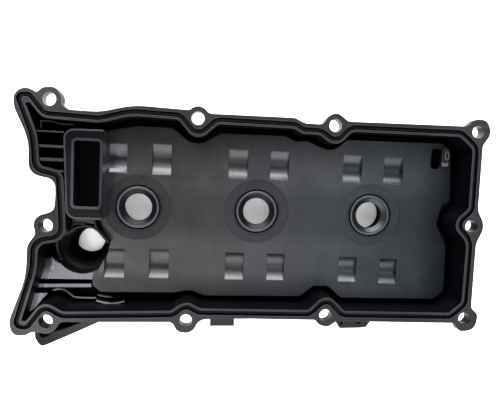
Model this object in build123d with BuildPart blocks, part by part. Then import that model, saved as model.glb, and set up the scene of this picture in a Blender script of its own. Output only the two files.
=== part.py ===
from build123d import *
import math
import os

os.makedirs("parts", exist_ok=True)

# Moulded valve cover of a V6 engine, open side up.
# Frame: origin on the middle spark plug axis, on the gasket mating plane.
# +X along the row of plug wells, +Y across the cover, +Z out of the open side.

# ---------------------------------------------------------------- dimensions
plug_pitch = 108.0            # distance between neighbouring plug wells
mate_z = 0.0                  # gasket mating plane
flange_t = 6.5                # thickness of the bolting flange
boss_r = 9.9                  # bolt boss radius
boss_t = 10.5                 # bolt boss height
crest_half = 1.0              # half the width of the inner lip of the gasket groove
groove_w = 3.9                # gasket groove width
groove_d = 4.6                # gasket groove depth
body_out = 2.2                # outer skin of the body, measured from the lip line
roof_in = -38.0               # inner face of the roof
roof_out = -41.0              # outer face of the roof
rest_z = -60.0                # tip of the filler neck and of the trim posts

sleeve_ro = 6.3               # bolt sleeve, outer radius
sleeve_ri = 5.6               # bolt sleeve, bore radius

baffle_z = -21.5              # visible face of the baffle
baffle_t = 2.5                # baffle wall
tower_z = -1.5                # top of the raised inlet frame of the baffle
lip_h = 1.0                   # lip round the inlet opening

seal_ro = 19.55               # plug seal, outer radius
seal_bore = 19.6              # bore that the seal is pressed into
seal_hole = 20.4              # clearance hole in the baffle
well_r = 15.1                 # bore of the plug well
well_wall = 22.2              # outer radius of the well tube

filler_r = 24.6               # upper bore of the oil filler
filler_c = (-155.7, -37.3)    # axis of the upper bore
step_r, step_c = 18.8, (-155.4, -41.6)    # mouth of the funnel in the roof
throat_r, throat_c = 15.0, (-151.3, -37.6)  # end of the funnel
neck_ri = 16.0                # bore of the filler neck
neck_ro = 19.8                # outside of the filler neck
neck_c = (-157.4, -32.7)      # axis of the filler neck

# lip line of the gasket groove: corner x, corner y, corner radius, clockwise
LIP = [
    (-200.9, 89.2, 2.4), (-196.6, 89.8, 2.6), (-184.4, 74.8, 10.4),
    (-138.3, 73.1, 23.0), (-112.5, 80.4, 53.7), (-72.3, 79.3, 7.4),
    (-56.7, 60.9, 12.2), (-39.0, 77.2, 8.1), (27.6, 76.8, 7.0),
    (35.0, 72.7, 8.0), (50.2, 72.6, 7.4), (66.4, 62.5, 12.2),
    (79.2, 76.7, 8.9), (180.1, 77.4, 8.3), (193.8, 66.2, 8.8),
    (194.2, 10.8, 6.7), (179.0, -3.8, 12.2), (194.8, -19.0, 15.4),
    (194.3, -77.0, 7.1), (182.3, -87.4, 5.2), (81.3, -87.2, 6.7),
    (64.8, -70.9, 12.2), (49.0, -86.8, 8.0), (-48.7, -86.7, 7.0),
    (-61.5, -80.0, 12.2), (-73.8, -89.2, 7.0), (-166.0, -91.5, 9.5),
    (-182.5, -82.1, 12.2), (-196.8, -101.9, 2.5), (-201.7, -100.8, 2.2),
    (-188.6, -53.9, 53.6), (-188.1, -31.6, 9.3), (-165.2, -28.1, 14.0),
    (-166.0, -6.2, 52.2), (-168.4, 28.6, 8.0), (-187.5, 33.5, 6.3),
    (-189.4, 59.2, 53.6),
]

# outer edge of the bolting flange
RIM = [
    (-207.1, 94.3, 10.9), (-197.6, 98.8, 8.9), (-189.0, 94.1, 5.2),
    (-185.3, 98.9, 9.0), (-172.6, 100.4, 11.3), (-168.8, 81.7, 9.5),
    (-138.1, 81.3, 48.2), (-110.5, 88.4, 71.2), (-64.0, 86.8, 7.0),
    (-55.3, 92.1, 9.6), (-46.6, 84.7, 7.5), (27.9, 85.2, 10.3),
    (36.8, 80.9, 10.8), (52.7, 80.8, 6.7), (62.9, 93.9, 9.4),
    (75.7, 84.5, 5.2), (185.4, 86.0, 5.4), (193.2, 92.8, 9.6),
    (204.3, 92.8, 10.3), (209.9, 80.9, 10.4), (202.2, 69.2, 6.9),
    (202.4, 20.7, 78.3), (202.3, 9.8, 13.1), (210.5, -3.9, 16.3),
    (203.0, -21.3, 18.1), (203.2, -81.9, 5.9), (210.4, -86.9, 9.6),
    (208.4, -102.7, 10.4), (192.4, -104.1, 6.0), (188.3, -96.1, 6.0),
    (75.3, -95.5, 6.0), (65.7, -102.6, 9.0), (55.6, -94.7, 6.0),
    (-3.3, -94.4, 87.0), (-49.4, -95.5, 10.1), (-54.8, -108.5, 9.7),
    (-68.5, -107.1, 10.5), (-72.2, -98.3, 6.0), (-168.3, -99.4, 6.0),
    (-174.5, -110.6, 9.4), (-190.8, -108.4, 5.8), (-197.3, -111.9, 9.6),
    (-207.1, -111.5, 10.4), (-210.5, -99.9, 26.1), (-196.6, -61.2, 72.8),
    (-195.8, -32.5, 17.3), (-189.1, -24.5, 7.2), (-191.7, -10.2, 11.6),
    (-174.2, -3.4, 6.8), (-173.2, 9.3, 52.2), (-173.7, 23.0, 8.7),
    (-195.4, 26.8, 11.0), (-195.2, 55.0, 48.9), (-208.2, 83.2, 69.6),
]

BOLTS = [
    (-179.4, 89.6), (-56.3, 80.3), (64.3, 80.4), (196.9, 81.4),
    (-180.7, -16.3), (-179.6, -98.9), (-60.8, -96.9), (64.6, -90.5),
    (197.3, -91.6), (197.0, -4.8),
]

# outline of the main plate of the baffle, clockwise
BAFFLE = [
    (-142.8, 66.9, 4.2), (-137.7, 67.0, 26.1), (-111.0, 72.7, 51.5),
    (-79.0, 72.7, 8.7), (-64.2, 60.8, 11.9), (-52.1, 59.8, 15.8),
    (-35.8, 70.0, 11.1), (23.3, 70.5, 8.9), (34.3, 65.7, 6.9),
    (43.6, 67.1, 11.3), (68.3, 57.6, 16.2), (82.3, 69.9, 7.9),
    (175.4, 70.9, 4.4), (183.8, 63.8, 7.6), (186.6, 15.4, 5.7),
    (178.8, 12.7, 5.0), (174.5, -6.8, 8.9), (185.7, -27.8, 7.5),
    (186.7, -72.2, 3.9), (176.5, -79.4, 5.2), (84.1, -79.8, 8.7),
    (71.6, -68.8, 6.8), (57.0, -69.1, 6.9), (44.6, -79.2, 9.2),
    (-44.2, -80.2, 7.0), (-59.0, -75.3, 10.4), (-74.6, -77.9, 8.7),
    (-139.3, -78.5, 4.2), (-147.0, -72.2, 3.0), (-146.5, -67.0, 2.6),
    (-134.4, -43.8, 30.0), (-131.0, -31.0, 2.5), (-137.8, -22.4, 12.0),
    (-143.1, -11.7, 3.0),
]
# outline of the raised inlet frame at its left end
FRAME = [
    (-168.1, 65.9, 8.5), (-134.9, 66.6, 1.2), (-134.9, -10.1, 1.2), (-164.7, -10.1, 8.5),
]
INLET = (-158.9, 0.9, -137.5, 56.5)          # opening: x0, y0, x1, y1

# wall between the filler and the inlet frame, drawn along its middle
CHAIN = [
    (-178.5, -31.2), (-172.3, -27.3), (-165.2, -22.8), (-159.3, -19.1), (-153.0, -17.6),
    (-146.6, -17.7), (-141.1, -20.9), (-136.1, -26.3), (-131.3, -31.8),
]

# ledge at the foot of the long wall, drawn along its middle
FOOT = [
    (-192.3, -82.3), (-186.6, -80.3), (-181.3, -79.3), (-177.7, -78.9), (-174.2, -79.6),
    (-171.5, -81.1), (-168.7, -83.3), (-166.0, -85.5), (-163.3, -86.5), (-155.2, -86.8),
    (-145.3, -86.7),
]

# cam lobe pockets: x0, x1, y0, y1
POCKETS = [
    (-134.2, -118.6, 30.1, 56.6), (-96.4, -79.4, 30.2, 57.6),
    (-27.4, -9.8, 29.7, 55.9), (11.0, 28.2, 29.7, 56.2),
    (79.7, 97.9, 30.0, 56.0), (119.2, 137.8, 30.0, 55.6),
    (-136.6, -118.8, -65.1, -38.2), (-96.5, -79.0, -64.7, -37.4),
    (-27.2, -10.0, -64.6, -39.0), (12.0, 28.2, -64.3, -39.0),
    (80.8, 98.0, -64.3, -40.2), (120.8, 137.8, -65.3, -40.9),
]
pocket_depth = 4.6

PLUGS = [(-plug_pitch, 0.0), (0.0, 0.0), (plug_pitch, 0.0)]
POSTS = [(168.0, 34.0), (160.0, -62.0), (-128.0, 52.0)]
COIL_BOSSES = [(-plug_pitch + 29.0, 12.0), (29.0, 12.0), (plug_pitch + 29.0, 12.0)]
PCV = (150.0, 58.0)


# ------------------------------------------------------------------- helpers
def shift(path, t):
    """The same outline moved outward by t, corner arcs kept concentric."""
    n = len(path)
    lines = []
    for i in range(n):
        x0, y0, _ = path[i]
        x1, y1, _ = path[(i + 1) % n]
        dx, dy = x1 - x0, y1 - y0
        ln = math.hypot(dx, dy)
        nx, ny = -dy / ln, dx / ln
        lines.append((x0 + nx * t, y0 + ny * t, dx / ln, dy / ln))
    out = []
    for i in range(n):
        ax, ay, adx, ady = lines[i - 1]
        bx, by, bdx, bdy = lines[i]
        cross = adx * bdy - ady * bdx
        s = ((bx - ax) * bdy - (by - ay) * bdx) / cross
        r = fitted(path)[i]
        r = r + t if cross < 0 else r - t
        out.append((ax + adx * s, ay + ady * s, max(r, 0.5)))
    return out


def fitted(path):
    """Corner radii, each kept inside its two straight runs."""
    n = len(path)
    out = []
    for i in range(n):
        x, y, r = path[i]
        ux, uy = path[i - 1][0] - x, path[i - 1][1] - y
        vx, vy = path[(i + 1) % n][0] - x, path[(i + 1) % n][1] - y
        lu, lv = math.hypot(ux, uy), math.hypot(vx, vy)
        half = math.acos(max(-1.0, min(1.0, (ux * vx + uy * vy) / (lu * lv)))) / 2
        out.append(min(r, 0.485 * min(lu, lv) * math.tan(half)))
    return out


def outline(path, t=0.0):
    """Closed face of the outline, for use inside a sketch."""
    p = shift(path, t) if t else path
    with BuildLine() as edge_run:
        FilletPolyline(*[(x, y) for x, y, _ in p], radius=fitted(p), close=True)
    make_face(edge_run.line.edges())


def strip(pts, w):
    """Corner points of a strip of width w along a run of points."""
    left, right = [], []
    n = len(pts)
    for i in range(n):
        a = pts[max(i - 1, 0)]
        b = pts[min(i + 1, n - 1)]
        dx, dy = b[0] - a[0], b[1] - a[1]
        ln = math.hypot(dx, dy)
        nx, ny = -dy / ln * w / 2, dx / ln * w / 2
        left.append((pts[i][0] + nx, pts[i][1] + ny))
        right.append((pts[i][0] - nx, pts[i][1] - ny))
    return left + right[::-1]


def arc_points(p0, pm, p1, n=9):
    """Points along the shallow arc through three points."""
    out = []
    for k in range(n):
        u = k / (n - 1)
        x = p0[0] + (p1[0] - p0[0]) * u
        y = p0[1] + (p1[1] - p0[1]) * u
        sag = pm[1] - (p0[1] + (p1[1] - p0[1]) * 0.5)
        out.append((x, y + sag * 4 * u * (1 - u)))
    return out


# ------------------------------------------------------------- shell: cavity
# the inside of the shell as one closed block, used to hollow the body
with BuildPart() as cavity:
    with BuildSketch(Plane.XY.offset(roof_in)):
        outline(LIP, -crest_half)
    extrude(amount=-roof_in + 2.0)
    fillet(cavity.faces().sort_by(Axis.Z)[0].edges(), radius=1.1)

# the same block a little larger: what stands inside the shell is cut to it
with BuildPart() as inside_limit:
    with BuildSketch(Plane.XY.offset(roof_in - 1.0)):
        outline(LIP, 0.5)
    extrude(amount=-roof_in + 1.0 - 0.4)

# ----------------------------------------------- shell: walls inside the body
with BuildPart() as inner_walls:
    # three ribs between the end wall and the inlet frame
    for y0, w in ((62.9, 1.1), (50.6, 2.1), (39.5, 2.5)):
        with BuildSketch(Plane.XY.offset(roof_in - 0.5)):
            with Locations((-179.0, y0)):
                Rectangle(23.0, w)
        extrude(amount=-roof_in + 0.5 - 1.6)
    # short web beside the inlet frame
    with BuildSketch(Plane.XY.offset(roof_in - 0.5)):
        with Locations((-170.4, 29.9)):
            Rectangle(5.6, 1.8)
    extrude(amount=-roof_in + 0.5 - 1.6)
    # thin stepped rib near the end wall
    with BuildSketch(Plane.XY.offset(roof_in - 0.5)):
        Polygon(*strip([(-188.9, 72.0), (-178.8, 71.9), (-172.5, 70.1), (-161.2, 70.0)], 0.9), align=None)
        Polygon(*strip([(-188.6, 72.2), (-188.3, 65.8)], 0.8), align=None)
    extrude(amount=-roof_in + 0.5 - 8.0)
    # shelf round the oil filler
    with BuildSketch(Plane.XY.offset(-23.6)):
        Polygon((-194.0, -67.3), (-190.5, -49.6), (-186.6, -49.1), (-182.3, -46.8), (-178.4, -52.2),
                (-160.0, -45.0), (-132.0, -31.5), (-127.0, -40.0), (-127.0, -67.0), align=None)
    extrude(amount=2.6)
    with Locations((-182.8, -57.0, -21.0)):
        Cylinder(3.6, 0.8, mode=Mode.SUBTRACT)
    # raised rim along the end-wall side of the shelf
    with BuildSketch(Plane.XY.offset(-23.6)):
        Polygon(*strip([(-187.7, -47.5), (-190.6, -67.3)], 1.3), align=None)
    extrude(amount=3.4)
    # tube under the shelf, down to the roof
    with BuildSketch(Plane.XY.offset(roof_in - 0.5)):
        with Locations(filler_c):
            Circle(filler_r + 2.2)
        Polygon(*(CHAIN + [(-127.0, -34.0), (-127.0, -70.0), (-200.0, -70.0), (-200.0, -33.0)]),
                align=None, mode=Mode.INTERSECT)
    extrude(amount=-roof_in + 0.5 - 21.2)
    with BuildSketch(Plane.XY.offset(-31.0)):
        Polygon((-200.0, -49.2), (-182.6, -46.6), (-176.0, -53.0), (-165.0, -45.0), (-165.0, -15.0),
                (-200.0, -15.0), align=None)
    extrude(amount=12.0, mode=Mode.SUBTRACT)
    # wall above the filler and its slanted run beside the baffle
    with BuildSketch(Plane.XY.offset(roof_in - 0.5)):
        Polygon(*strip(CHAIN, 1.7), align=None)
        Polygon(*strip([(-144.1, -11.0), (-142.9, -16.6), (-141.1, -20.9)], 1.4), align=None)
    extrude(amount=-roof_in + 0.5 - 12.0)
    # second, lower wall behind it and the ledge under the inlet frame
    with BuildSketch(Plane.XY.offset(roof_in - 0.5)):
        Polygon(*strip([(-163.2, -19.2), (-162.3, -16.6), (-159.4, -15.7), (-152.6, -15.5), (-150.6, -17.6)], 1.1),
                align=None)
    extrude(amount=-roof_in + 0.5 - 12.0)
    with BuildSketch(Plane.XY.offset(roof_in - 0.5)):
        Polygon((-164.2, -10.2), (-143.6, -10.2), (-143.6, -15.8), (-153.4, -15.4), (-163.6, -16.4),
                align=None)
    extrude(amount=-roof_in + 0.5 - 15.5)
    # long rib across the end of the baffle
    with BuildSketch(Plane.XY.offset(roof_in - 0.5)):
        Polygon((-195.0, -71.7), (-147.2, -70.7), (-147.2, -74.0), (-195.0, -74.9), align=None)
    extrude(amount=-roof_in + 0.5 - 20.0)
    # bore of the filler through shelf and tube, rounded at its foot
    with BuildPart(mode=Mode.PRIVATE) as filler_bore:
        with BuildSketch(Plane.XY.offset(roof_in)):
            with Locations(filler_c):
                Circle(filler_r)
        extrude(amount=-roof_in - 18.0)
        fillet(filler_bore.faces().sort_by(Axis.Z)[0].edges(), radius=8.0)
        with BuildSketch(Plane.XY.offset(roof_in - 1.0)):
            Polygon(*(strip(CHAIN, 1.7)[len(CHAIN):] + [(-200.0, -34.0), (-200.0, -75.0), (-120.0, -75.0),
                    (-120.0, -38.0)]), align=None)
        extrude(amount=30.0, mode=Mode.INTERSECT)
    add(filler_bore.part, mode=Mode.SUBTRACT)
    # corner gusset beside the lower end bolt
    with BuildSketch(Plane.XY.offset(roof_in - 0.5)):
        Polygon((-199.0, -79.2), (-183.6, -78.8), (-196.0, -94.0), (-203.0, -98.0), align=None)
    extrude(amount=-roof_in + 0.5 - 16.0)
    # narrow ledge that follows the foot of the long wall round the end bolt
    with BuildSketch(Plane.XY.offset(roof_in - 0.5)):
        Polygon(*strip(FOOT, 1.5), align=None)
    extrude(amount=-roof_in + 0.5 - 30.0)
    # two shallow arched ribs on the long wall
    with BuildSketch(Plane.XY.offset(roof_in - 0.5)):
        Polygon(*strip(arc_points((-143.2, -86.7), (-130.6, -89.2), (-118.0, -87.1)), 1.5), align=None)
    extrude(amount=-roof_in + 0.5 - 22.0)
    with BuildSketch(Plane.XY.offset(roof_in - 0.5)):
        Polygon(*strip(arc_points((-143.7, -83.9), (-130.8, -85.6), (-119.5, -84.4)), 1.5), align=None)
    extrude(amount=-roof_in + 0.5 - 30.0)
    # plug well tubes
    with BuildSketch(Plane.XY.offset(roof_in - 0.5)):
        with Locations(*PLUGS):
            Circle(well_wall)
    extrude(amount=-roof_in + 0.5 + baffle_z - baffle_t - 0.1)
    add(inside_limit.part, mode=Mode.INTERSECT)
    # clear of the edge of the baffle and of its raised frame
    with BuildSketch(Plane.XY.offset(baffle_z - baffle_t - 0.1)):
        outline(BAFFLE, 0.2)
    extrude(amount=30.0, mode=Mode.SUBTRACT)
    with BuildSketch(Plane.XY.offset(roof_in + 1.0)):
        outline(FRAME, 0.25)
    extrude(amount=40.0, mode=Mode.SUBTRACT)
    # and of the pocket beside the filler
    with BuildSketch(Plane.XY.offset(baffle_z - 7.4)):
        outline(BAFFLE, 0.2)
        with Locations((-128.0, -52.0)):
            Rectangle(22.0, 32.0, mode=Mode.INTERSECT)
    extrude(amount=5.5, mode=Mode.SUBTRACT)

# -------------------------------------------------------------- shell: body
with BuildPart() as cover_shell:
    # body and roof
    with BuildSketch(Plane.XY.offset(roof_out)):
        outline(LIP, body_out)
    extrude(amount=-roof_out - 1.0)
    fillet(cover_shell.faces().sort_by(Axis.Z)[0].edges(), radius=3.2)
    # bolting flange and bolt bosses
    with BuildSketch(Plane.XY):
        outline(RIM)
    extrude(amount=-flange_t)
    with BuildSketch(Plane.XY):
        with Locations(*BOLTS):
            Circle(boss_r)
    extrude(amount=-boss_t)
    # raised collars round the outer mouths of the wells
    with BuildSketch(Plane.XY.offset(roof_out + 0.5)):
        with Locations(*PLUGS):
            Circle(19.0)
    extrude(amount=-3.0)
    # coil screw bosses
    with BuildSketch(Plane.XY.offset(roof_out + 0.5)):
        with Locations(*COIL_BOSSES):
            Circle(7.2)
    extrude(amount=-9.5, taper=2)
    # trim cover posts
    with BuildSketch(Plane.XY.offset(roof_out + 0.5)):
        with Locations(*POSTS):
            Circle(9.0)
    extrude(amount=rest_z - roof_out - 0.5, taper=4)
    # crankcase breather boss
    with BuildSketch(Plane.XY.offset(roof_out + 0.5)):
        with Locations(PCV):
            Circle(11.0)
    extrude(amount=-10.5, taper=2)
    # filler neck
    with BuildSketch(Plane.XY.offset(roof_out + 0.5)):
        with Locations((-155.4, -36.6)):
            Circle(24.5)
    extrude(amount=-8.5, taper=8)
    with BuildSketch(Plane.XY.offset(roof_out)):
        with Locations(neck_c):
            Circle(neck_ro)
    extrude(amount=rest_z - roof_out)
    with BuildSketch(Plane.XY.offset(rest_z)):
        with Locations(neck_c):
            Circle(neck_ro + 1.4)
    extrude(amount=3.0)
    # clip tab and slotted holder under the long edge
    with BuildSketch(Plane.XY.offset(-9.0)):
        Polygon((-39.5, -84.0), (-39.2, -104.6), (-17.4, -104.3), (-17.7, -84.0), align=None)
        Polygon((76.5, -84.0), (77.9, -100.3), (81.2, -105.3), (100.6, -104.8), (106.4, -104.0),
                (109.8, -99.1), (109.8, -84.0), align=None)
    extrude(amount=-3.2)
    with BuildSketch(Plane.XY.offset(-9.0)):
        with Locations((82.6, -99.6)):
            Rectangle(1.8, 5.0)
        with Locations((98.6, -99.9)):
            Rectangle(4.2, 1.6)
    extrude(amount=-2.2, mode=Mode.SUBTRACT)
    # gusset bracket under the lower end boss, an open box
    with BuildSketch(Plane.XY.offset(roof_out + 1.0)):
        Polygon((-180.0, -84.0), (-195.8, -103.4), (-198.2, -119.0), (-197.9, -123.8), (-195.2, -128.5),
                (-192.1, -131.3), (-188.2, -130.3), (-167.0, -120.5), (-141.5, -108.2),
                (-128.0, -92.0), (-128.0, -84.0), align=None)
    extrude(amount=14.0)
    with BuildSketch(Plane.XY.offset(roof_out + 4.0)):
        Polygon((-176.0, -99.5), (-188.5, -106.0), (-194.2, -118.4), (-193.6, -122.6), (-190.6, -124.0),
                (-184.7, -120.9), (-174.2, -116.1), (-165.3, -112.2), (-153.0, -107.0), (-146.0, -99.5),
                align=None)
    extrude(amount=14.0, mode=Mode.SUBTRACT)
    # hollow the body
    add(cavity.part, mode=Mode.SUBTRACT)
    add(inner_walls.part)
    # the two pointed ends of the opening are filled in
    with BuildSketch(Plane.XY.offset(roof_in - 0.5)):
        outline(LIP, -crest_half + 0.3)
        Polygon((-215.0, 85.8), (-190.0, 85.8), (-190.0, 100.0), (-215.0, 100.0), align=None,
                mode=Mode.INTERSECT)
    extrude(amount=-roof_in + 0.5)
    with BuildSketch(Plane.XY.offset(roof_in - 0.5)):
        outline(LIP, -crest_half + 0.3)
        Polygon((-215.0, -99.0), (-185.0, -99.0), (-185.0, -110.0), (-215.0, -110.0), align=None,
                mode=Mode.INTERSECT)
    extrude(amount=-roof_in + 0.5)
    # gasket groove
    with BuildSketch(Plane.XY):
        outline(LIP, crest_half + groove_w)
        with BuildSketch(mode=Mode.PRIVATE) as groove_core:
            outline(LIP, crest_half)
        add(groove_core.sketch, mode=Mode.SUBTRACT)
    extrude(amount=-groove_d, mode=Mode.SUBTRACT)
    # bores for the bolt sleeves
    with BuildSketch(Plane.XY.offset(1.0)):
        with Locations(*BOLTS):
            Circle(sleeve_ro)
    extrude(amount=-20.0, mode=Mode.SUBTRACT)
    # room for the bolt head where the bracket passes behind a boss
    with BuildSketch(Plane.XY.offset(-boss_t)):
        with Locations(BOLTS[5]):
            Circle(8.2)
    with BuildSketch(Plane.XY.offset(-boss_t - 34.0)):
        with Locations((-192.4, -112.4)):
            Circle(9.4)
    loft(mode=Mode.SUBTRACT)
    with BuildSketch(Plane.XY.offset(-boss_t)):
        with Locations(BOLTS[5]):
            Circle(8.2)
    extrude(amount=-40.0, mode=Mode.SUBTRACT)
    # seal seats and plug bores
    with BuildSketch(Plane.XY.offset(baffle_z)):
        with Locations(*PLUGS):
            Circle(seal_bore)
    extrude(amount=-9.5, mode=Mode.SUBTRACT)
    with BuildSketch(Plane.XY.offset(baffle_z - 5.0)):
        with Locations(*PLUGS):
            Circle(well_r)
    extrude(amount=-25.0, mode=Mode.SUBTRACT)
    # filler bore: funnel in the roof, offset run, then the neck
    with BuildSketch(Plane.XY.offset(roof_in + 0.02)):
        with Locations(step_c):
            Circle(step_r)
    with BuildSketch(Plane.XY.offset(roof_in - 5.0)):
        with Locations(throat_c):
            Circle(throat_r)
    loft(mode=Mode.SUBTRACT)
    with BuildSketch(Plane.XY.offset(roof_in - 4.9)):
        with Locations(throat_c):
            Circle(throat_r)
    extrude(amount=-4.2, mode=Mode.SUBTRACT)
    with BuildSketch(Plane.XY.offset(roof_in - 9.0)):
        with Locations(neck_c):
            Circle(neck_ri)
    extrude(amount=-20.0, mode=Mode.SUBTRACT)
    # blind holes in the posts, seats for the coil inserts, breather bore
    with BuildSketch(Plane.XY.offset(rest_z)):
        with Locations(*POSTS):
            Circle(2.6)
    extrude(amount=14.0, mode=Mode.SUBTRACT)
    with BuildSketch(Plane.XY.offset(roof_out - 9.0)):
        with Locations(*COIL_BOSSES):
            Circle(3.9)
    extrude(amount=9.2, mode=Mode.SUBTRACT)
    with BuildSketch(Plane.XY.offset(roof_out - 15.0)):
        with Locations(PCV):
            Circle(6.5)
    extrude(amount=20.0, mode=Mode.SUBTRACT)
cover_shell.part.label = "cover_shell"
export_step(cover_shell.part, "parts/cover_shell.step")

# ------------------------------------------------------------------- gasket
with BuildPart() as perimeter_gasket:
    # base of the moulded rubber ring
    with BuildSketch(Plane.XY.offset(-groove_d)):
        outline(LIP, crest_half + groove_w - 0.35)
        with BuildSketch(mode=Mode.PRIVATE) as gasket_core:
            outline(LIP, crest_half + 0.35)
        add(gasket_core.sketch, mode=Mode.SUBTRACT)
    extrude(amount=1.3)
    # low sealing ridge along its middle
    with BuildSketch(Plane.XY.offset(-groove_d + 1.3)):
        outline(LIP, crest_half + groove_w / 2 + 1.0)
        with BuildSketch(mode=Mode.PRIVATE) as ridge_core:
            outline(LIP, crest_half + groove_w / 2 - 1.3)
        add(ridge_core.sketch, mode=Mode.SUBTRACT)
    extrude(amount=0.8)
    with BuildSketch(Plane.XY.offset(-groove_d + 2.1)):
        outline(LIP, crest_half + groove_w / 2 + 0.5)
        with BuildSketch(mode=Mode.PRIVATE) as bead_core:
            outline(LIP, crest_half + groove_w / 2 - 0.8)
        add(bead_core.sketch, mode=Mode.SUBTRACT)
    extrude(amount=0.6)
perimeter_gasket.part.label = "perimeter_gasket"
export_step(perimeter_gasket.part, "parts/perimeter_gasket.step")

# ------------------------------------------------------------------- baffle
# rounded undersides of the lobe pockets, kept inside the plate outline
with BuildPart() as pocket_shells:
    for x0, x1, y0, y1 in POCKETS:
        c = (y1 - y0) / 2
        r = (c * c + pocket_depth * pocket_depth) / (2 * pocket_depth)
        with BuildSketch(Plane.YZ.offset(x0 - 1.8)):
            with Locations(((y0 + y1) / 2, baffle_z + r - pocket_depth)):
                Circle(r + 2.2)
            with Locations(((y0 + y1) / 2, baffle_z - 1.0 - 10.0)):
                Rectangle(2 * r + 20.0, 20.0, mode=Mode.INTERSECT)
        extrude(amount=x1 - x0 + 3.6)
    with BuildSketch(Plane.XY.offset(roof_in)):
        outline(BAFFLE, -0.1)
    extrude(amount=30.0, mode=Mode.INTERSECT)

with BuildPart() as baffle_plate:
    # skirt that closes the separator chamber against the roof
    with BuildSketch(Plane.XY.offset(roof_in)):
        outline(BAFFLE, -0.7)
        with BuildSketch(mode=Mode.PRIVATE) as skirt_core:
            outline(BAFFLE, -2.7)
        add(skirt_core.sketch, mode=Mode.SUBTRACT)
        # the filler tube closes the chamber where it passes
        with Locations(filler_c):
            Circle(filler_r + 2.8, mode=Mode.SUBTRACT)
        with BuildSketch(mode=Mode.PRIVATE) as frame_core:
            outline(FRAME, -1.0)
        add(frame_core.sketch, mode=Mode.SUBTRACT)
    extrude(amount=-roof_in + baffle_z - 1.0)
    # walls of the raised frame, open towards the chamber under the plate
    with BuildSketch(Plane.XY.offset(roof_in + 1.4)):
        outline(FRAME, -0.25)
        with BuildSketch(mode=Mode.PRIVATE) as frame_wall_core:
            outline(FRAME, -2.2)
        add(frame_wall_core.sketch, mode=Mode.SUBTRACT)
        Polygon((-141.8, 62.5), (-130.0, 62.5), (-130.0, -6.0), (-141.8, -6.0),
                align=None, mode=Mode.SUBTRACT)
    extrude(amount=-roof_in - 1.4 + tower_z - 1.0)
    # main plate
    with BuildSketch(Plane.XY.offset(baffle_z)):
        outline(BAFFLE)
        Polygon((-150.0, 61.0), (-137.2, 61.0), (-137.2, -6.5), (-150.0, -6.5),
                align=None, mode=Mode.SUBTRACT)
    extrude(amount=-baffle_t)
    # undersides of the lobe pockets
    add(pocket_shells.part)
    # raised frame: top, right wall, lip
    with BuildSketch(Plane.XY.offset(tower_z)):
        outline(FRAME)
    extrude(amount=-baffle_t)
    with BuildSketch(Plane.XY.offset(tower_z)):
        outline(FRAME)
        Polygon((-170.0, 70.0), (-137.2, 70.0), (-137.2, -12.0), (-170.0, -12.0),
                align=None, mode=Mode.SUBTRACT)
    extrude(amount=-(tower_z - baffle_z + baffle_t))
    # low bead along the outer edge of the frame, not on the side of the plate
    with BuildSketch(Plane.XY.offset(tower_z)):
        outline(FRAME)
        with BuildSketch(mode=Mode.PRIVATE) as bead_inside:
            outline(FRAME, -1.5)
        add(bead_inside.sketch, mode=Mode.SUBTRACT)
        Polygon((-138.5, 64.5), (-130.0, 64.5), (-130.0, -8.3), (-138.5, -8.3), align=None, mode=Mode.SUBTRACT)
    extrude(amount=0.6)
    # relief for the cam lobe in the side of the frame
    with BuildSketch(Plane.YZ.offset(FRAME[1][0] - 0.8)):
        with Locations((43.0, -5.2)):
            Circle(18.6)
    extrude(amount=2.0, mode=Mode.SUBTRACT)
    with BuildSketch(Plane.XY.offset(tower_z)):
        with Locations(((INLET[0] + INLET[2]) / 2, (INLET[1] + INLET[3]) / 2)):
            RectangleRounded(INLET[2] - INLET[0] + 4.6, INLET[3] - INLET[1] + 4.4, 4.4)
    extrude(amount=lip_h)
    # cut the pockets
    for x0, x1, y0, y1 in POCKETS:
        c = (y1 - y0) / 2
        r = (c * c + pocket_depth * pocket_depth) / (2 * pocket_depth)
        with BuildSketch(Plane.YZ.offset(x0)):
            with Locations(((y0 + y1) / 2, baffle_z + r - pocket_depth)):
                Circle(r)
            with Locations(((y0 + y1) / 2, baffle_z - 9.0 + 0.2)):
                Rectangle(2 * c + 0.6, 18.0, mode=Mode.INTERSECT)
        extrude(amount=x1 - x0, mode=Mode.SUBTRACT)
    # inlet opening
    with BuildSketch(Plane.XY.offset(tower_z + 5.0)):
        with Locations(((INLET[0] + INLET[2]) / 2, (INLET[1] + INLET[3]) / 2)):
            RectangleRounded(INLET[2] - INLET[0], INLET[3] - INLET[1], 2.6)
    extrude(amount=-9.0, mode=Mode.SUBTRACT)
    # shallow recess and clearance hole round each seal
    with BuildSketch(Plane.XY.offset(baffle_z + 0.2)):
        with Locations(*PLUGS):
            Circle(29.6)
    extrude(amount=-0.9, mode=Mode.SUBTRACT)
    with BuildSketch(Plane.XY.offset(baffle_z - 0.7)):
        with Locations(*PLUGS):
            Circle(seal_hole + 1.6)
    extrude(amount=0.5)
    with BuildSketch(Plane.XY.offset(baffle_z + 1.0)):
        with Locations(*PLUGS):
            Circle(seal_hole)
    extrude(amount=-10.0, mode=Mode.SUBTRACT)
    # drain slot with its moulded clip block at the far corner
    with BuildSketch(Plane.XY.offset(baffle_z + 1.0)):
        with Locations((169.2, 56.2)):
            RectangleRounded(8.8, 19.6, 3.4)
    extrude(amount=-6.0, mode=Mode.SUBTRACT)
    with BuildSketch(Plane.XY.offset(baffle_z - 1.0)):
        with Locations((176.9, 57.8)):
            RectangleRounded(7.4, 17.4, 2.8)
    extrude(amount=4.6)
    with BuildSketch(Plane.XY.offset(baffle_z + 3.6)):
        with Locations((177.9, 59.4)):
            Ellipse(2.4, 4.4)
            Ellipse(1.2, 3.2, mode=Mode.SUBTRACT)
    extrude(amount=1.2)
baffle_plate.part.label = "baffle_plate"
export_step(baffle_plate.part, "parts/baffle_plate.step")

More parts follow.
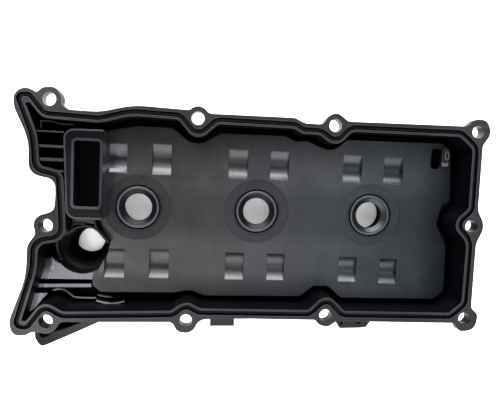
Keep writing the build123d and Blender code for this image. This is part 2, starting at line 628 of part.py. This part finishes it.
# --------------------------------------------------------------- plug seals
for i, (px, py) in enumerate(PLUGS, start=1):
    seal_plane = Plane(origin=(px, py, 0.0), x_dir=(1, 0, 0), z_dir=(0, -1, 0))
    # pressed steel case, L section
    with BuildPart() as seal_case:
        with BuildSketch(seal_plane):
            Polygon((seal_ro, -30.9), (seal_ro, -23.6), (18.65, -23.6), (18.65, -30.0),
                    (16.3, -30.0), (16.3, -30.9), align=None)
        revolve(axis=Axis((px, py, 0), (0, 0, 1)))
    seal_case.part.label = f"seal_case_{i}"
    export_step(seal_case.part, f"parts/seal_case_{i}.step")
    # rubber: rolled top bead, cone and sealing lip
    with BuildPart() as plug_seal:
        with BuildSketch(seal_plane):
            Polygon((18.6, -23.6), (19.0, -23.6), (19.0, -21.9), (18.8, -21.5), (18.4, -21.35), (17.3, -21.35),
                    (16.9, -21.5), (16.65, -21.9), (16.4, -22.4), (12.8, -24.5), (12.2, -25.0), (12.2, -25.9),
                    (12.5, -26.2), (12.7, -27.1), (13.4, -27.1),
                    (13.4, -25.5), (15.2, -25.3), (17.4, -24.3), (17.4, -29.9), (18.6, -29.9), align=None)
        revolve(axis=Axis((px, py, 0), (0, 0, 1)))
    plug_seal.part.label = f"plug_seal_{i}"
    export_step(plug_seal.part, f"parts/plug_seal_{i}.step")
    # garter spring behind the lip
    with BuildPart() as seal_spring:
        with BuildSketch(seal_plane):
            with Locations((14.3, -26.35)):
                Circle(0.8)
        revolve(axis=Axis((px, py, 0), (0, 0, 1)))
    seal_spring.part.label = f"seal_spring_{i}"
    export_step(seal_spring.part, f"parts/seal_spring_{i}.step")

# ------------------------------------------------------------- bolt sleeves
for i, (bx, by) in enumerate(BOLTS, start=1):
    with BuildPart() as bolt_sleeve:
        with BuildSketch(Plane.XY.offset(-boss_t)):
            with Locations((bx, by)):
                Circle(sleeve_ro - 0.02)
                Circle(sleeve_ri, mode=Mode.SUBTRACT)
        extrude(amount=boss_t)
        chamfer(bolt_sleeve.edges().filter_by(GeomType.CIRCLE).sort_by(SortBy.RADIUS)[:2], length=0.2)
    bolt_sleeve.part.label = f"bolt_sleeve_{i:02d}"
    export_step(bolt_sleeve.part, f"parts/bolt_sleeve_{i:02d}.step")

# ------------------------------------------------------- coil screw inserts
for i, (cx, cy) in enumerate(COIL_BOSSES, start=1):
    with BuildPart() as coil_insert:
        with BuildSketch(Plane.XY.offset(roof_out - 9.0)):
            with Locations((cx, cy)):
                Circle(3.88)
                Circle(2.5, mode=Mode.SUBTRACT)
        extrude(amount=9.0)
        chamfer(coil_insert.edges().filter_by(GeomType.CIRCLE).sort_by(SortBy.RADIUS)[:2], length=0.4)
    coil_insert.part.label = f"coil_insert_{i}"
    export_step(coil_insert.part, f"parts/coil_insert_{i}.step")
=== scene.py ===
import math

import bpy
import numpy as np
from mathutils import Matrix, Vector

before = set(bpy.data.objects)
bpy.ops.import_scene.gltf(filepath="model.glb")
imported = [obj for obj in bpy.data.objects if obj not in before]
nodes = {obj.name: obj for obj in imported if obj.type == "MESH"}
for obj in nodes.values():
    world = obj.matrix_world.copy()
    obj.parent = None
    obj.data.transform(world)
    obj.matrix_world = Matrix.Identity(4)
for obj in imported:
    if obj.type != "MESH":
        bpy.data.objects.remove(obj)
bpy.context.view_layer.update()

scene = bpy.context.scene

FLOOR_Z = -0.060

# ----------------------------------------------------------------- materials
class Graph:
    """A small builder for node materials."""

    def __init__(self, name):
        self.mat = bpy.data.materials.new(name)
        self.mat.use_nodes = True
        self.nt = self.mat.node_tree
        self.nt.nodes.clear()
        self.out = self.nt.nodes.new("ShaderNodeOutputMaterial")
        self.coord = self.nt.nodes.new("ShaderNodeTexCoord").outputs["Object"]

    def link(self, a, b):
        self.nt.links.new(a, b)

    def put(self, node, key, value):
        if value is None:
            return
        if isinstance(value, bpy.types.NodeSocket):
            self.link(value, node.inputs[key])
        else:
            node.inputs[key].default_value = value

    def noise(self, scale, detail=3.0, rough=0.5, distortion=0.0, vector=None):
        n = self.nt.nodes.new("ShaderNodeTexNoise")
        self.put(n, "Vector", self.coord if vector is None else vector)
        n.inputs["Scale"].default_value = scale
        n.inputs["Detail"].default_value = detail
        n.inputs["Roughness"].default_value = rough
        n.inputs["Distortion"].default_value = distortion
        return n.outputs["Fac"]

    def voronoi(self, scale, feature="F1"):
        n = self.nt.nodes.new("ShaderNodeTexVoronoi")
        n.feature = feature
        self.put(n, "Vector", self.coord)
        n.inputs["Scale"].default_value = scale
        return n.outputs["Distance"]

    def scaled(self, sx, sy, sz, vector=None):
        n = self.nt.nodes.new("ShaderNodeMapping")
        self.put(n, "Vector", self.coord if vector is None else vector)
        n.inputs["Scale"].default_value = (sx, sy, sz)
        return n.outputs["Vector"]

    def xyz(self):
        n = self.nt.nodes.new("ShaderNodeSeparateXYZ")
        self.put(n, "Vector", self.coord)
        return n.outputs["X"], n.outputs["Y"], n.outputs["Z"]

    def facing(self):
        """The three parts of the true surface's normal."""
        n = self.nt.nodes.new("ShaderNodeNewGeometry")
        v = self.nt.nodes.new("ShaderNodeSeparateXYZ")
        self.link(n.outputs["True Normal"], v.inputs[0])
        return v.outputs["X"], v.outputs["Y"], v.outputs["Z"]

    def spot(self, x, y, cx, cy, r_in, r_out):
        """1 inside a circle about cx, cy, falling to 0 outside it."""
        dx = self.math("SUBTRACT", x, cx)
        dy = self.math("SUBTRACT", y, cy)
        d = self.math("SQRT", self.math("ADD", self.math("MULTIPLY", dx, dx), self.math("MULTIPLY", dy, dy)))
        return self.remap(d, r_in, r_out, 1.0, 0.0, True)

    def remap(self, value, a, b, lo=0.0, hi=1.0, smooth=False):
        n = self.nt.nodes.new("ShaderNodeMapRange")
        if smooth:
            n.interpolation_type = "SMOOTHSTEP"
        self.put(n, "Value", value)
        n.inputs["From Min"].default_value = a
        n.inputs["From Max"].default_value = b
        n.inputs["To Min"].default_value = lo
        n.inputs["To Max"].default_value = hi
        return n.outputs["Result"]

    def math(self, op, a, b=None, c=None):
        n = self.nt.nodes.new("ShaderNodeMath")
        n.operation = op
        self.put(n, 0, a)
        self.put(n, 1, b)
        self.put(n, 2, c)
        return n.outputs[0]

    def mix(self, fac, a, b):
        n = self.nt.nodes.new("ShaderNodeMix")
        n.data_type = "RGBA"
        self.put(n, 0, fac)
        self.put(n, 6, a)
        self.put(n, 7, b)
        return n.outputs[2]

    def bump(self, height, strength, distance, normal=None):
        n = self.nt.nodes.new("ShaderNodeBump")
        self.put(n, "Height", height)
        n.inputs["Strength"].default_value = strength
        n.inputs["Distance"].default_value = distance
        self.put(n, "Normal", normal)
        return n.outputs["Normal"]

    def edge(self, radius):
        n = self.nt.nodes.new("ShaderNodeBevel")
        n.samples = 4
        n.inputs["Radius"].default_value = radius
        return n.outputs["Normal"]

    def surface(self, color, rough, normal=None, metal=0.0, spec=0.5, coat=0.0, coat_rough=0.2):
        n = self.nt.nodes.new("ShaderNodeBsdfPrincipled")
        self.put(n, "Base Color", color)
        self.put(n, "Roughness", rough)
        self.put(n, "Normal", normal)
        n.inputs["Metallic"].default_value = metal
        self.put(n, "Specular IOR Level", spec)
        n.inputs["Coat Weight"].default_value = coat
        n.inputs["Coat Roughness"].default_value = coat_rough
        self.link(n.outputs["BSDF"], self.out.inputs["Surface"])
        return self.mat


def rgb(r, g, b):
    return (r, g, b, 1.0)


def moulded(name, dark, light, rough_lo, rough_hi, edge_radius=0.0004, grain=0.25, waves=0.0, zones=None):
    g = Graph(name)
    broad = g.noise(14.0, 3.0, 0.55)
    fine = g.noise(1400.0, 3.0, 0.6)
    cloud = g.noise(45.0, 4.0, 0.6, 0.4)
    f = g.math("ADD", g.math("MULTIPLY", broad, 0.6), g.math("MULTIPLY", cloud, 0.4))
    color = g.mix(g.remap(f, 0.35, 0.65, 0.0, 1.0), dark, light)
    # light dust that has settled here and there
    dust = g.remap(g.noise(260.0, 5.0, 0.7), 0.62, 0.80, 0.0, 0.10)
    color = g.mix(dust, color, rgb(0.035, 0.035, 0.036))
    rough = g.math("ADD", g.remap(cloud, 0.3, 0.7, rough_lo, rough_hi), g.remap(fine, 0.3, 0.7, -0.03, 0.03))
    spec = g.remap(broad, 0.3, 0.7, 0.44, 0.56)
    if zones:
        color, rough, spec = zones(g, color, rough, spec)
    normal = g.edge(edge_radius)
    if waves:
        normal = g.bump(g.noise(28.0, 2.0, 0.5, 0.3), waves, 0.0010, normal)
    normal = g.bump(fine, grain, 0.00004, normal)
    normal = g.bump(g.noise(130.0, 3.0), 0.10, 0.0002, normal)
    return g.surface(color, rough, normal, spec=spec)


def both(g, *masks):
    out = masks[0]
    for m in masks[1:]:
        out = g.math("MULTIPLY", out, m)
    return out


def lerp(g, mask, a, b):
    """a where the mask is 0, the number b where it is 1."""
    return g.math("ADD", g.math("MULTIPLY", a, g.remap(mask, 0.0, 1.0, 1.0, 0.0)), g.math("MULTIPLY", mask, b))


def inner_wall(g, x, y):
    """1 on upright faces that look towards the middle of the part."""
    nx, ny, nz = g.facing()
    inward = g.math("ADD", g.math("MULTIPLY", nx, x), g.math("MULTIPLY", ny, y))
    return both(g, g.remap(inward, -0.020, -0.035), g.remap(nz, 0.45, 0.25))


def shell_zones(g, color, rough, spec):
    """Polished shelf and ribs at the filler end, a paler flange top, matt walls and floor; painted highlights on the
    shelf end, the rib, the gusset, the ledge crests and the flange edges, painted shade on the inner walls and the deep
    floor.
    """
    x, y, z = g.xyz()
    facing = g.remap(g.facing()[2], 0.55, 0.80)
    shelf = both(g, g.remap(z, -0.0105, -0.0125), g.remap(z, -0.0260, -0.0235),
                 g.remap(x, -0.1445, -0.1475), g.remap(y, -0.030, -0.034))
    foot = both(g, g.remap(z, -0.0190, -0.0200), g.remap(z, -0.0320, -0.0312),
                g.remap(x, -0.114, -0.117), g.remap(y, -0.077, -0.079))
    gloss = both(g, facing, g.math("MAXIMUM", shelf, foot))
    rough = lerp(g, gloss, rough, 0.18)
    # painted highlight: the end of the shelf, the rib and the gusset beside the end wall are painted paler, as if lit
    slant = g.math("SUBTRACT", x, g.math("MULTIPLY", g.math("ADD", y, 0.0473), 0.233))
    painted_end_highlight = both(g, g.remap(slant, -0.1790, -0.1830), g.remap(y, -0.0465, -0.0545))
    # painted highlight: the round ejector mark on the shelf is painted paler
    mark = both(g, g.spot(x, y, -0.1826, -0.0572, 0.0020, 0.0036), shelf)
    ridge = both(g, g.remap(g.math("ABSOLUTE", g.math("ADD", slant, 0.1876)), 0.0010, 0.0006), g.remap(y, -0.044, -0.049))
    pale = g.math("MULTIPLY", both(g, facing, painted_end_highlight, g.remap(z, -0.0105, -0.0125), g.remap(z, -0.0260, -0.0235)),
                  g.math("ADD", g.remap(y, -0.056, -0.063, 0.14, 0.80), g.math("MULTIPLY", ridge, 0.38)))
    pale = g.math("MAXIMUM", pale, g.math("MULTIPLY", mark, 0.30))
    # painted highlight on the crest of the ledge at the foot of the long wall and of the two arched ribs
    crest = both(g, facing, g.remap(z, -0.0212, -0.0216), g.remap(z, -0.0310, -0.0306),
                 g.remap(x, -0.112, -0.116), g.remap(y, -0.0760, -0.0780))
    crest = g.math("MAXIMUM", crest, both(g, facing, g.remap(z, -0.0285, -0.0290), g.remap(z, -0.0310, -0.0306), g.remap(x, -0.112, -0.116), g.remap(y, -0.0760, -0.0780)))
    pale = g.math("MAXIMUM", pale, g.math("MULTIPLY", crest, g.remap(x, -0.190, -0.176, 0.45, 1.0, True)))
    color = g.mix(pale, color, rgb(0.175, 0.180, 0.194))
    # painted shade: upright inner walls facing the middle of the part are painted darker, except where painted
    # highlight lies
    wall = inner_wall(g, x, y)
    spec = g.math("MULTIPLY", spec, g.remap(wall, 0.0, 1.0, 1.0, WALL_SPEC))
    color = g.mix(g.math("MULTIPLY", wall, g.math("SUBTRACT", 1.0, pale)), color, rgb(0.0018, 0.0022, 0.0034))
    top = both(g, facing, g.remap(z, -0.0011, -0.0007))
    color = g.mix(top, color, FLANGE)
    rough = lerp(g, top, rough, 0.40)
    # painted highlight: the rounded edges of the flange and of the gasket crest are painted paler, the middle stays
    # dark
    rim = g.nt.nodes.new("ShaderNodeSeparateXYZ")
    g.link(g.edge(0.0011), rim.inputs[0])
    painted_edge_highlight = both(g, top, g.remap(rim.outputs["Z"], 0.990, 0.900))
    color = g.mix(painted_edge_highlight, color, rgb(0.034, 0.036, 0.041))
    spec = g.math("MULTIPLY", spec, g.math("SUBTRACT", 1.0, g.math("MULTIPLY", 0.22, g.math("SUBTRACT", top, painted_edge_highlight))))
    # the middle of the long runs is cleaner and darker than the worn ends
    run = g.remap(g.math("ABSOLUTE", x), 0.130, 0.190, 0.61, 1.34, True)
    side = both(g, g.remap(x, -0.140, -0.160), g.remap(g.math("ABSOLUTE", y), 0.075, 0.055))
    run = g.math("MULTIPLY", run, g.remap(side, 0.0, 1.0, 1.0, 0.50))
    spec = g.math("MULTIPLY", spec, g.math("ADD", g.math("SUBTRACT", 1.0, top), g.math("MULTIPLY", top, run)))
    lug = both(g, facing, g.remap(z, -0.0082, -0.0086), g.remap(z, -0.0125, -0.0120))
    spec = g.math("MULTIPLY", spec, g.remap(lug, 0.0, 1.0, 1.0, 0.50))
    # the gusset bracket behind the flange sits in shade
    bracket = both(g, g.remap(z, -0.0185, -0.0200), g.remap(y, -0.093, -0.097))
    spec = g.math("MULTIPLY", spec, g.remap(bracket, 0.0, 1.0, 1.0, 0.30))
    color = g.mix(bracket, color, rgb(0.0030, 0.0032, 0.0040))
    groove = both(g, g.remap(z, -0.0020, -0.0030), g.remap(z, -0.0060, -0.0055))
    spec = g.math("MULTIPLY", spec, g.remap(groove, 0.0, 1.0, 1.0, 0.35))
    # painted shade: the deep floor of the cavity and the seat round the plug tubes are painted near-black, as well as
    # made rougher and less shiny
    deep = g.remap(z, -0.034, -0.037)
    seat = both(g, g.remap(x, -0.134, -0.130), g.remap(z, -0.0215, -0.0225))
    dull_and_shaded = g.math("MAXIMUM", deep, seat)
    spec = g.math("MULTIPLY", spec, g.remap(dull_and_shaded, 0.0, 1.0, 1.0, 0.10))
    spec = g.math("MULTIPLY", spec, g.remap(z, -0.0385, -0.0400, 1.0, 0.0))
    color = g.mix(dull_and_shaded, color, rgb(0.0014, 0.0015, 0.0022))
    rough = lerp(g, dull_and_shaded, rough, 0.60)
    return color, rough, spec


def baffle_zones(g, color, rough, spec):
    """Duller recess round each plug well, satin frame whose flat is painted darker as painted shade and whose bead and
    lip carry a painted highlight.
    """
    x, y, z = g.xyz()
    ring = None
    for px, depth in ((-0.108, 1.0), (0.0, 0.82), (0.108, 0.45)):
        m = g.math("MULTIPLY", g.spot(x, y, px, 0.0, 0.0290, 0.0302), depth)
        ring = m if ring is None else g.math("MAXIMUM", ring, m)
    spec = g.math("MULTIPLY", spec, g.remap(ring, 0.0, 1.0, 1.0, 0.48))
    rough = g.math("ADD", rough, g.math("MULTIPLY", ring, 0.06))
    # lobe pockets: polished by the tool, duller at the bottom
    pocket = g.math("MULTIPLY", g.remap(z, -0.0219, -0.0223), g.remap(ring, 0.0, 0.3, 1.0, 0.0))
    rough = g.math("SUBTRACT", rough, g.math("MULTIPLY", pocket, 0.03))
    low_y = g.remap(y, 0.02, -0.02, 0.66, 0.85)
    floor_of = g.remap(z, -0.0244, -0.0256)
    spec = g.math("MULTIPLY", spec, g.math("ADD", g.math("SUBTRACT", 1.0, floor_of), g.math("MULTIPLY", floor_of, low_y)))
    # broad soft bands along the plate, as the resin flowed
    plate = g.math("MULTIPLY", g.remap(z, -0.0205, -0.0210), g.remap(z, -0.0219, -0.0217))
    wob = g.math("MULTIPLY", g.math("SUBTRACT", g.noise(5.0, 2.0, 0.5), 0.5), 0.020)
    yy = g.math("ADD", y, wob)
    band = g.remap(yy, 0.034, 0.070, 1.0, 0.50, True)
    band = g.math("MULTIPLY", band, g.math("SUBTRACT", 1.0, g.math("MULTIPLY", 0.30, both(g, g.remap(yy, 0.026, 0.012), g.remap(yy, -0.030, -0.014)))))
    low = g.math("MULTIPLY", g.remap(yy, -0.052, -0.070, 0.0, 0.45, True), g.remap(x, 0.10, 0.04))
    band = g.math("MULTIPLY", band, g.math("SUBTRACT", 1.0, low))
    streak = g.noise(1.0, 3.0, 0.6, 0.3, g.scaled(55.0, 14.0, 10.0))
    band = g.math("MULTIPLY", band, g.remap(streak, 0.3, 0.7, 0.90, 1.10))
    spec = g.math("MULTIPLY", spec, g.math("ADD", g.math("SUBTRACT", 1.0, plate), g.math("MULTIPLY", plate, band)))
    # colder tint towards the right-hand end
    color = g.mix(g.remap(x, -0.05, 0.12), color, rgb(0.0034, 0.0066, 0.0096))
    color = g.mix(g.remap(x, 0.145, 0.180), color, rgb(0.0026, 0.0036, 0.0052))
    frame_flat = both(g, g.remap(z, -0.0030, -0.0020), g.remap(z, -0.00125, -0.0014))
    shade = g.remap(y, 0.040, 0.066, 0.20, 0.05)
    spec = g.math("MULTIPLY", spec, g.math("ADD", g.math("SUBTRACT", 1.0, frame_flat), g.math("MULTIPLY", frame_flat, shade)))
    bead = g.remap(z, -0.00125, -0.00105)
    # painted shade darkens the flat of the inlet frame; a painted highlight makes its raised bead and lip paler
    color = g.mix(frame_flat, color, rgb(0.0026, 0.0028, 0.0034))
    color = g.mix(bead, color, BEAD_HIGHLIGHT)
    lip = both(g, bead, g.remap(g.math("ABSOLUTE", g.math("ADD", x, 0.1482)), 0.0142, 0.0134),
               g.remap(g.math("ABSOLUTE", g.math("SUBTRACT", y, 0.0287)), 0.0320, 0.0310))
    far = g.math("MAXIMUM", g.remap(y, 0.040, 0.056), g.remap(x, -0.140, -0.1375))
    spec = g.math("MULTIPLY", spec, g.math("ADD", g.math("SUBTRACT", 1.0, lip), g.math("MULTIPLY", lip, g.remap(far, 0.0, 1.0, 0.85, 0.34))))
    # painted light: the moulded side of the inlet frame that looks at the plate is painted paler, as if lit from that
    # side
    painted_light_cheek = both(g, g.remap(g.facing()[0], 0.60, 0.85), g.remap(x, -0.1362, -0.1358), g.remap(x, -0.1325, -0.1335),
                 g.remap(z, -0.0025, -0.0035), g.remap(z, -0.0208, -0.0200))
    color = g.mix(painted_light_cheek, color, rgb(0.030, 0.030, 0.033))
    # painted highlight: the pocket beside the inlet frame is painted with its sheen up to its end, where the frame wall
    # shades it
    ny = g.facing()[1]
    near = both(g, g.remap(x, -0.1185, -0.1335), g.remap(x, -0.1345, -0.1340), g.remap(y, 0.029, 0.0295), g.remap(y, 0.058, 0.0575),
                g.remap(z, -0.0219, -0.0222))
    color = g.mix(both(g, near, g.remap(ny, -0.12, -0.22)), color, rgb(0.075, 0.077, 0.086))
    color = g.mix(both(g, near, g.remap(ny, 0.38, 0.46)), color, rgb(0.30, 0.31, 0.33))
    # the far right of the plate carries a thin dull film
    film = g.math("MULTIPLY", g.remap(x, 0.152, 0.184, 0.0, 1.0, True), g.remap(z, -0.0195, -0.0205))
    # clip block: duller top, with its oval ring and foot painted paler
    block = both(g, g.remap(x, 0.168, 0.170), g.remap(y, 0.045, 0.047), g.remap(z, -0.0205, -0.0195), g.remap(g.facing()[2], 0.5, 0.8))
    oval = g.math("MAXIMUM", g.remap(z, -0.0179, -0.0176), g.remap(y, 0.0530, 0.0525))
    spec = g.math("MULTIPLY", spec, g.remap(block, 0.0, 1.0, 1.0, 0.55))
    color = g.mix(g.math("MULTIPLY", block, oval), color, rgb(0.055, 0.058, 0.060))
    spec = g.math("MULTIPLY", spec, g.remap(film, 0.0, 1.0, 1.0, 0.35))
    under = g.remap(z, -0.0275, -0.0290)
    spec = g.math("MULTIPLY", spec, g.remap(under, 0.0, 1.0, 1.0, 0.2))
    return color, rough, spec


def seal_zones(g, color, rough, spec):
    """Painted highlight on the bead at the rim of each seal, painted shade making the cone inside it near-black."""
    x, y, z = g.xyz()
    rim = g.remap(z, -0.0222, -0.0217)
    cone = g.remap(z, -0.0219, -0.0224)
    spec = g.math("MULTIPLY", spec, g.math("ADD", g.math("SUBTRACT", 1.0, cone), g.math("MULTIPLY", cone, g.remap(x, 0.03, 0.09, 0.24, 0.78))))
    # painted shade: the cone inside the seal is painted near-black
    color = g.mix(cone, color, rgb(0.0024, 0.0030, 0.0046))
    # painted highlight: the rim bead is painted paler
    color = g.mix(rim, color, rgb(0.020, 0.022, 0.026))
    return color, rough, spec


def gasket_zones(g, color, rough, spec):
    """Matt rubber."""
    return color, rough, g.math("MULTIPLY", spec, 0.20)


WALL_SPEC = 0.27
FLANGE = rgb(0.0065, 0.0070, 0.0085)
BEAD_HIGHLIGHT = rgb(0.014, 0.015, 0.018)
shell_mat = moulded("shell_black_nylon", rgb(0.0036, 0.0037, 0.0040), rgb(0.0062, 0.0064, 0.0068), 0.34, 0.46,
                    zones=shell_zones)
baffle_mat = moulded("baffle_black_nylon", rgb(0.0042, 0.0038, 0.0050), rgb(0.0072, 0.0067, 0.0082), 0.27, 0.37,
                     waves=0.35, zones=baffle_zones)
rubber_mat = moulded("black_rubber", rgb(0.0040, 0.0042, 0.0046), rgb(0.0070, 0.0073, 0.0080), 0.30, 0.40, 0.0003, 0.15,
                     zones=seal_zones)
gasket_mat = moulded("gasket_rubber", rgb(0.0016, 0.0016, 0.0019), rgb(0.0028, 0.0028, 0.0031), 0.50, 0.60, 0.0004, 0.15,
                     zones=gasket_zones)


def metal(name, dark, light, rough_lo, rough_hi, painted_shade_color=None):
    g = Graph(name)
    f = g.noise(220.0, 4.0, 0.6)
    color = g.mix(g.remap(f, 0.35, 0.7), dark, light)
    if painted_shade_color:
        # painted shade: darker towards one long side of the part
        color = g.mix(g.remap(g.xyz()[1], 0.050, -0.020), color, painted_shade_color)
    normal = g.bump(g.noise(1500.0, 2.0), 0.2, 0.00003, g.edge(0.0003))
    return g.surface(color, g.remap(f, 0.3, 0.7, rough_lo, rough_hi), normal, metal=1.0)


steel_mat = metal("plated_steel", rgb(0.10, 0.10, 0.105), rgb(0.18, 0.18, 0.185), 0.3, 0.5)
sleeve_mat = metal("black_oxide_steel", rgb(0.030, 0.030, 0.031), rgb(0.060, 0.060, 0.061), 0.3, 0.45,
                   rgb(0.010, 0.010, 0.011))
case_mat = metal("phosphated_steel", rgb(0.0045, 0.0046, 0.0050), rgb(0.0080, 0.0082, 0.0088), 0.5, 0.65)
brass_mat = metal("brass", rgb(0.50, 0.36, 0.15), rgb(0.66, 0.49, 0.22), 0.28, 0.45)


def dress(obj, mat):
    obj.data.materials.clear()
    obj.data.materials.append(mat)


for name, obj in nodes.items():
    if name == "cover_shell":
        dress(obj, shell_mat)
    elif name == "baffle_plate":
        dress(obj, baffle_mat)
    elif name == "perimeter_gasket":
        dress(obj, gasket_mat)
    elif name.startswith("plug_seal"):
        dress(obj, rubber_mat)
    elif name.startswith("bolt_sleeve"):
        dress(obj, sleeve_mat)
    elif name.startswith("seal_case"):
        dress(obj, case_mat)
    elif name.startswith("coil_insert"):
        dress(obj, brass_mat)
    else:
        dress(obj, steel_mat)


# --------------------------------------------------------------------- floor
# a plain, softly glowing light table; the part above it takes its light away by real occlusion
bpy.ops.mesh.primitive_plane_add(size=6.0, location=(0.0, 0.0, FLOOR_Z - 0.0002))
floor = bpy.context.object
floor.name = "floor"
g = Graph("pale_floor")
floor_color = g.mix(g.noise(6.0, 2.0), rgb(0.90, 0.90, 0.90), rgb(0.93, 0.93, 0.93))
floor_mat = g.surface(floor_color, 0.7, spec=0.0)
principled = g.nt.nodes["Principled BSDF"]
principled.inputs["Emission Color"].default_value = (1.0, 0.997, 0.99, 1.0)
occlusion = g.nt.nodes.new("ShaderNodeAmbientOcclusion")
occlusion.samples = 16
occlusion.inputs["Distance"].default_value = 0.12
g.link(g.remap(occlusion.outputs["AO"], 0.0, 0.5, 0.0, 1.05), principled.inputs["Emission Strength"])
dress(floor, floor_mat)


# -------------------------------------------------------------------- lights
def softbox(name, direction, distance, half_x, half_y, radiance, color=(1.0, 1.0, 1.0), target=(0.0, 0.0, 0.0)):
    """Rectangular lamp seen from the part under the given half angles, in degrees."""
    lamp = bpy.data.lights.new(name, "AREA")
    lamp.shape = "RECTANGLE"
    lamp.size = 2.0 * distance * math.tan(math.radians(half_x))
    lamp.size_y = 2.0 * distance * math.tan(math.radians(half_y))
    lamp.energy = radiance * math.pi * lamp.size * lamp.size_y
    lamp.color = color
    obj = bpy.data.objects.new(name, lamp)
    scene.collection.objects.link(obj)
    d = Vector(direction).normalized()
    obj.location = Vector(target) + d * distance
    obj.rotation_mode = "QUATERNION"
    obj.rotation_quaternion = d.to_track_quat("Z", "Y")
    return obj


softbox("key_top", (-0.08, 0.80, 0.58), 1.6, 30.0, 15.0, 13.5, (0.97, 0.985, 1.0))
softbox("key_mid", (-0.10, 0.47, 0.88), 2.0, 22.0, 9.0, 3.9, (0.97, 0.985, 1.0))
softbox("overhead", (0.150, -0.154, 1.0), 2.2, 26.5, 10.0, 2.1, (0.965, 0.965, 1.0))
softbox("back", (-0.02, -0.76, 0.65), 1.8, 30.0, 22.0, 4.4, (0.98, 0.985, 1.0))
softbox("compact_left", (-0.28, -0.262, 1.0), 2.0, 6.4, 6.0, 9.0, (0.93, 0.955, 1.0), (-0.165, -0.060, -0.020))

world = bpy.data.worlds.new("studio")
scene.world = world
world.use_nodes = True
back = world.node_tree.nodes["Background"]
back.inputs["Color"].default_value = rgb(0.95, 0.98, 1.0)
back.inputs["Strength"].default_value = 0.25

scene.view_settings.view_transform = "Standard"
scene.view_settings.look = "None"
scene.view_settings.exposure = 0.0
scene.view_settings.gamma = 1.0

# -------------------------------------------------------------------- camera
cam_data = bpy.data.cameras.new("camera")
cam_data.sensor_fit = "HORIZONTAL"
cam_data.sensor_width = 36.0
cam_data.lens = 32.4
cam_data.clip_start, cam_data.clip_end = 0.01, 20.0
cam = bpy.data.objects.new("camera", cam_data)
scene.collection.objects.link(cam)
right = Vector((0.99493, 0.04391, 0.09049)).normalized()
look = Vector((0.09339, -0.06909, -0.99323)).normalized()
up = right.cross(look).normalized()
right = look.cross(up).normalized()
m = Matrix((
    (right.x, up.x, -look.x, -0.045408),
    (right.y, up.y, -look.y, 0.039064),
    (right.z, up.z, -look.z, 0.391480),
    (0.0, 0.0, 0.0, 1.0),
))
cam.matrix_world = m
scene.camera = cam

bpy.context.view_layer.update()
